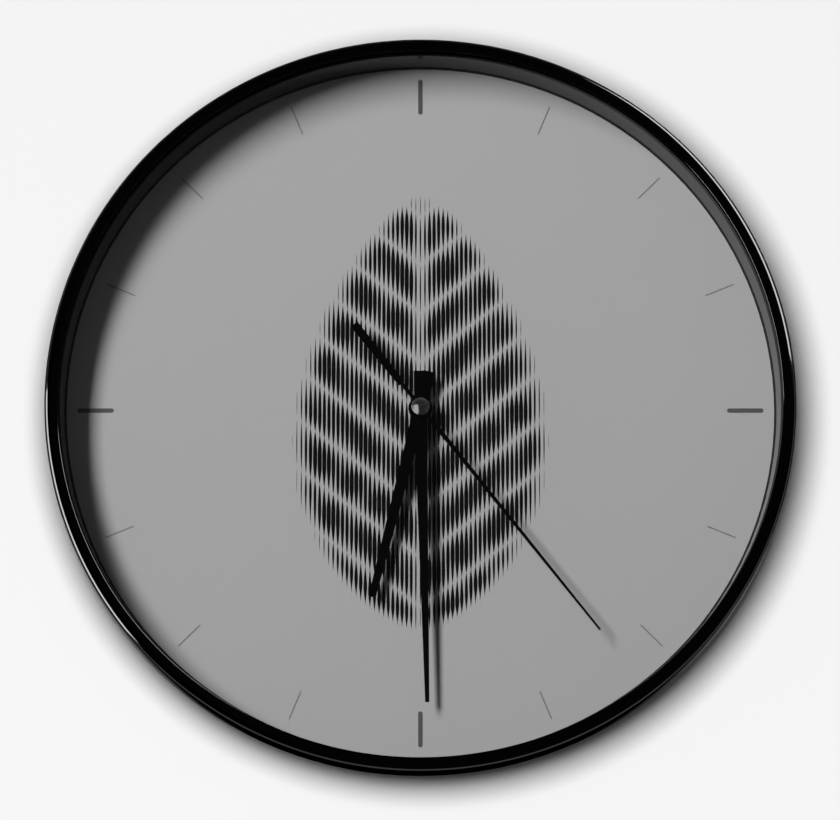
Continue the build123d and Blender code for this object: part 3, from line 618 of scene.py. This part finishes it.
def make_leaf(material):
    verts, faces = [], []
    reach = int(LEAF_HALF_WIDTH / STRIP_PITCH)
    for i in range(-reach, reach + 1):
        x = i * STRIP_PITCH
        for run in strip_runs(x):
            outline = strip_outline(x, run)
            start = print_edge(outline, verts, faces)
            strip_faces(start, len(outline), faces)
    leaf = mesh_object("dial_leaf_print", verts, faces, material)
    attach(leaf, "case")


# The sixteen marks round the dial

MARK_COUNT = 16
QUARTER = MARK_COUNT // 4
WIDE_MARK = (103.9 * MM, 116.3 * MM, 1.52 * MM)     # inner end, outer end and width
FINE_MARK = (104.9 * MM, 115.4 * MM, 0.45 * MM)
END_STEPS = 6


def mark_outline(mark, turn):
    """A bar with round ends, turned clockwise from twelve."""
    inner, outer, width = mark
    half = width / 2
    points = []
    for centre, first in ((outer - half, 0.0), (inner + half, math.pi)):
        for i in range(END_STEPS + 1):
            angle = first + math.pi * i / END_STEPS
            points.append((half * math.cos(angle), centre + half * math.sin(angle)))
    cos, sin = math.cos(turn), math.sin(turn)
    return [(x * cos + z * sin, z * cos - x * sin) for x, z in points]


def make_marks(name, mark, places, material):
    verts, faces = [], []
    for place in places:
        outline = mark_outline(mark, 2 * math.pi * place / MARK_COUNT)
        start = print_edge(outline, verts, faces)
        count = len(outline)
        faces.append(tuple(range(start, start + count)))
        faces.append(tuple(range(start + count, start + 2 * count)))
    marks = mesh_object(name, verts, faces, material)
    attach(marks, "case")


# The rim and the cap, turned finely so that their highlights run smoothly. Their sizes are
# in millimetres: radii from the arbor's axis, and heights above the wall.

BEZEL_OUTER = 126.95            # a little inside the frame's box
BEZEL_BACK_RADIUS = 126.8
BEZEL_BACK = 27.0
BEZEL_CREST = 37.6
BEZEL_ROUND = 2.2
LIP_RADIUS = 122.4
LIP_BACK = 35.6
LIP_ROUND = 0.4
SKIRT_INNER = 124.8
BEAD_AT = 30.0
BEAD_HALF_WIDTH = 0.6
BEAD_GROOVE = 0.32
RIM_ROUND_STEPS = 14
RIM_STEPS = 720

CAP_RADIUS = 3.04
CAP_BASE = 29.1
CAP_EDGE = 0.5                  # the cap's outline starts from an upright edge this high
CAP_HEIGHT = 1.5
CAP_ROUND = 0.15
CAP_TUBE = 1.1
CAP_TUBE_HOLE_SHARE = 0.4
CAP_TUBE_BACK = 28.15
CAP_POLE_ANGLE = 0.6            # degrees; leaves a pinhole at the top of the dome
CAP_DOME_STEPS = 24
CAP_ROUND_STEPS = 5
CAP_STEPS = 144

SHARP_ANGLE = math.radians(32)


def arc(centre, radius, start, end, steps):
    """Points of (radius, height) round a centre, by degrees from the arbor's axis, outward."""
    points = []
    for i in range(steps + 1):
        angle = math.radians(start + (end - start) * i / steps)
        points.append((centre[0] + radius * math.sin(angle), centre[1] + radius * math.cos(angle)))
    return points


def turn_profile(name, profile, steps, material):
    """Turns a closed outline of (radius, height) round the arbor's axis."""
    verts, faces = [], []
    count = len(profile)
    for i in range(steps):
        angle = 2 * math.pi * i / steps
        for radius, height in profile:
            verts.append((radius * math.sin(angle) * MM, -height * MM,
                          ARBOR_Z + radius * math.cos(angle) * MM))
    for i in range(steps):
        j = (i + 1) % steps
        for k in range(count):
            m = (k + 1) % count
            faces.append((i * count + k, j * count + k, j * count + m, i * count + m))
    turned = mesh_object(name, verts, faces, material)
    for face in turned.data.polygons:
        face.use_smooth = True
    turned.data.set_sharp_from_angle(angle=SHARP_ANGLE)
    return turned


def make_bezel(material):
    outer = (BEZEL_OUTER - BEZEL_ROUND, BEZEL_CREST - BEZEL_ROUND)
    inner = (LIP_RADIUS + LIP_ROUND, BEZEL_CREST - LIP_ROUND)
    profile = [(LIP_RADIUS, LIP_BACK)]
    profile += arc(inner, LIP_ROUND, -90, 0, RIM_ROUND_STEPS)
    profile += arc(outer, BEZEL_ROUND, 0, 90, RIM_ROUND_STEPS)
    profile += [(BEZEL_BACK_RADIUS, BEZEL_BACK), (SKIRT_INNER, BEZEL_BACK),
                (SKIRT_INNER, BEAD_AT - BEAD_HALF_WIDTH), (SKIRT_INNER + BEAD_GROOVE, BEAD_AT),
                (SKIRT_INNER, BEAD_AT + BEAD_HALF_WIDTH), (SKIRT_INNER, LIP_BACK)]
    bezel = turn_profile("rim_moulding", profile, RIM_STEPS, material)
    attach(bezel, "case")
    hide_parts("front_bezel")
    return bezel


def make_cap(material):
    """A low dome with a short upright edge and a fine round between them, on its tube."""
    rise = CAP_HEIGHT - CAP_EDGE
    sphere = (CAP_RADIUS ** 2 + rise ** 2) / (2 * rise)
    slope = math.degrees(math.asin(CAP_RADIUS / sphere))
    low = (0, CAP_BASE + CAP_HEIGHT - sphere)
    dome = arc(low, sphere, CAP_POLE_ANGLE, slope, CAP_DOME_STEPS)
    dome = [point for point in dome if point[0] < CAP_RADIUS - CAP_ROUND]
    round_centre = (CAP_RADIUS - CAP_ROUND, dome[-1][1] - CAP_ROUND)
    profile = dome + arc(round_centre, CAP_ROUND, slope, 90, CAP_ROUND_STEPS)
    profile += [(CAP_RADIUS, CAP_BASE), (CAP_TUBE, CAP_BASE), (CAP_TUBE, CAP_TUBE_BACK),
                (CAP_TUBE * CAP_TUBE_HOLE_SHARE, CAP_TUBE_BACK), (dome[0][0], CAP_BASE)]
    cap = turn_profile("cap_dome", profile, CAP_STEPS, material)
    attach(cap, "seconds")
    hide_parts("second_hand_cap")
    return cap


# The wall, the world and the lamps. Each lamp stands so many steps of its way out from the
# arbor.

WALL_LEVEL = 0.913
WALL_MOTTLE = 0.002
WALL_FULL = 0.25                # beyond this distance it fades into the pale room
WALL_REACH = 0.5
WALL_GAP = 0.3 * MM
FILL_LEVEL = 0.072
FRONT_GLOSS_LEVEL = 0.02
ROOM_BLUR = 0.12                # how softly the dim front half of the room meets the pale half

KEY_WAY = Vector((-0.87, -1, 0.52))
KEY_STEP = 4.0
KEY_WIDE = 1.15
KEY_TALL = 3.6
KEY_POWER = 546.0

WALL_KEY_WAY = Vector((-0.065, -1, -0.115))
WALL_KEY_STEP = 1.06
WALL_KEY_RADIUS = 0.2
WALL_KEY_POWER = 38.1

BACK_LAMP_WAY = Vector((-0.35, 0.8, 0.5))
BACK_LAMP_STRENGTH = 4.5
BACK_LAMP_SPREAD = math.radians(40)

CARD_DISTANCE = 1.6
RIM_CARD = (28, 44, 13.0)       # width and height in degrees, and level
RIM_CARD_ANGLES = {"card_left": (262, 11), "card_upper_right": (47, 17)}
CAP_CARD = (38, 62, 0.5)
CAP_CARD_WAY = Vector((-0.568, -0.80, -0.19))


def make_wall():
    """A pale patch of wall, seen from the front only, so the clock's back can be looked at."""
    tree = material_tree("wall_paint")
    cloud = tree.noise(tree.coords(), scale=3.0, detail=2.0)
    colour = tree.blend(cloud, rgb(WALL_LEVEL * (1 - WALL_MOTTLE)),
                        rgb(WALL_LEVEL * (1 + WALL_MOTTLE)))
    paint = tree.node("BsdfDiffuse")
    tree.link(colour, paint.inputs["Color"])
    clear = tree.node("BsdfTransparent")
    behind = tree.node("NewGeometry").outputs["Backfacing"]
    apart = tree.node("VectorMath", operation="DISTANCE")
    tree.link(tree.coords(), apart.inputs[0])
    apart.inputs[1].default_value = (0, WALL_GAP, ARBOR_Z)
    fade = tree.span(apart.outputs["Value"], WALL_FULL, WALL_REACH, smooth=True)
    tree.mix(tree.math("MAXIMUM", behind, fade), paint, clear)
    wall = rectangle("wall", (-WALL_REACH, ARBOR_Z - WALL_REACH),
                     (WALL_REACH, ARBOR_Z + WALL_REACH), WALL_GAP, tree.owner)
    wall.visible_shadow = False
    return wall


def make_world():
    """Pale all round for the camera; the room in front of the clock is dim in its gloss."""
    world = bpy.data.worlds.new("room")
    bpy.context.scene.world = world
    tree = Tree(world)
    depth = tree.split(tree.node("TexCoord").outputs["Generated"])[1]
    mirrored = tree.blend(tree.span(depth, -ROOM_BLUR, ROOM_BLUR),
                          rgb(FRONT_GLOSS_LEVEL), rgb(WALL_LEVEL))
    path = tree.node("LightPath").outputs
    unseen = tree.blend(path["Is Glossy Ray"], rgb(FILL_LEVEL), mirrored)
    seen = tree.math("MAXIMUM", path["Is Camera Ray"], path["Is Transmission Ray"])
    background = tree.node("Background")
    tree.link(tree.blend(seen, unseen, rgb(WALL_LEVEL)), background.inputs["Color"])
    out = tree.node("OutputWorld")
    tree.link(background.outputs[0], out.inputs["Surface"])


def light_only(lamp, objects, keep=True):
    """Lets a lamp light only these objects, or everything but them."""
    group = bpy.data.collections.new(lamp.name + "_reach")
    for thing in objects:
        group.objects.link(thing)
    for entry in group.collection_objects:
        entry.light_linking.link_state = "INCLUDE" if keep else "EXCLUDE"
    lamp.light_linking.receiver_collection = group


def place_lamp(data, way, step):
    """Hangs a lamp that far out from the arbor, facing it, and out of every reflection."""
    lamp = bpy.data.objects.new(data.name, data)
    lamp.location = way * step + Vector((0, 0, ARBOR_Z))
    lamp.rotation_euler = way.to_track_quat("Z", "Y").to_euler()
    lamp.visible_glossy = False
    bpy.context.scene.collection.objects.link(lamp)
    return lamp


def make_key(wall):
    """Tall soft panel to the left, a little above the clock."""
    data = bpy.data.lights.new("key", "AREA")
    data.shape = "RECTANGLE"
    data.size = KEY_WIDE
    data.size_y = KEY_TALL
    data.energy = KEY_POWER
    key = place_lamp(data, KEY_WAY, KEY_STEP)
    light_only(key, [wall], keep=False)


def make_wall_key(wall):
    """Soft lamp for the wall alone, as bright far off as near, which casts the clock's shadow."""
    data = bpy.data.lights.new("wall_key", "POINT")
    data.shadow_soft_size = WALL_KEY_RADIUS
    data.energy = WALL_KEY_POWER
    data.use_nodes = True
    falloff = data.node_tree.nodes.new("ShaderNodeLightFalloff")
    falloff.inputs["Strength"].default_value = 1.0
    glow = data.node_tree.nodes["Emission"]
    data.node_tree.links.new(falloff.outputs["Constant"], glow.inputs["Strength"])
    lamp = place_lamp(data, WALL_KEY_WAY, WALL_KEY_STEP)
    light_only(lamp, [wall])


def make_back_lamp():
    """Lights the clock's back for views from behind the wall."""
    data = bpy.data.lights.new("back_lamp", "SUN")
    data.energy = BACK_LAMP_STRENGTH
    data.angle = BACK_LAMP_SPREAD
    place_lamp(data, BACK_LAMP_WAY, 1)


def make_card(name, way, wide, tall, level):
    """A soft panel that only shows as a reflection; its sizes are angles as seen from the clock."""
    tree = material_tree(name)
    glow = tree.node("Emission")
    glow.inputs["Color"].default_value = rgb(1.0)
    glow.inputs["Strength"].default_value = level
    tree.surface(glow)
    half = [CARD_DISTANCE * math.tan(math.radians(angle) / 2) for angle in (wide, tall)]
    card = rectangle(name, (-half[0], -half[1]), half, None, tree.owner)
    way = way.normalized()
    card.location = way * CARD_DISTANCE + Vector((0, 0, ARBOR_Z))
    card.rotation_euler = way.to_track_quat("Z", "Y").to_euler()
    card.visible_camera = False
    card.visible_diffuse = False
    card.visible_transmission = False
    card.visible_shadow = False
    return card


def clock_way(angle, forward):
    """The way out from the arbor at a clock angle, tipped forward from the dial's plane."""
    turn, tip = math.radians(angle), math.radians(forward)
    return Vector((math.sin(turn) * math.cos(tip), -math.sin(tip),
                   math.cos(turn) * math.cos(tip)))


make_camera()
wall = make_wall()
make_world()
make_key(wall)
make_wall_key(wall)
make_back_lamp()
rim_cards = [make_card(name, clock_way(*angles), *RIM_CARD)
             for name, angles in RIM_CARD_ANGLES.items()]
cap_card = make_card("card_cap", CAP_CARD_WAY, *CAP_CARD)
materials = make_materials()
dress_nodes(materials)
bezel = make_bezel(materials["bezel_black"])
for card in rim_cards:
    light_only(card, [bezel])
light_only(cap_card, [make_cap(materials["cap_silver"])])
make_leaf(ink("print_black", 0.0025))
quarters = range(0, MARK_COUNT, QUARTER)
make_marks("dial_wide_marks", WIDE_MARK, quarters, ink("mark_grey", 0.069))
make_marks("dial_fine_marks", FINE_MARK, [i for i in range(MARK_COUNT) if i not in quarters],
           ink("fine_mark_grey", 0.15))
bpy.context.scene.view_settings.view_transform = "Standard"
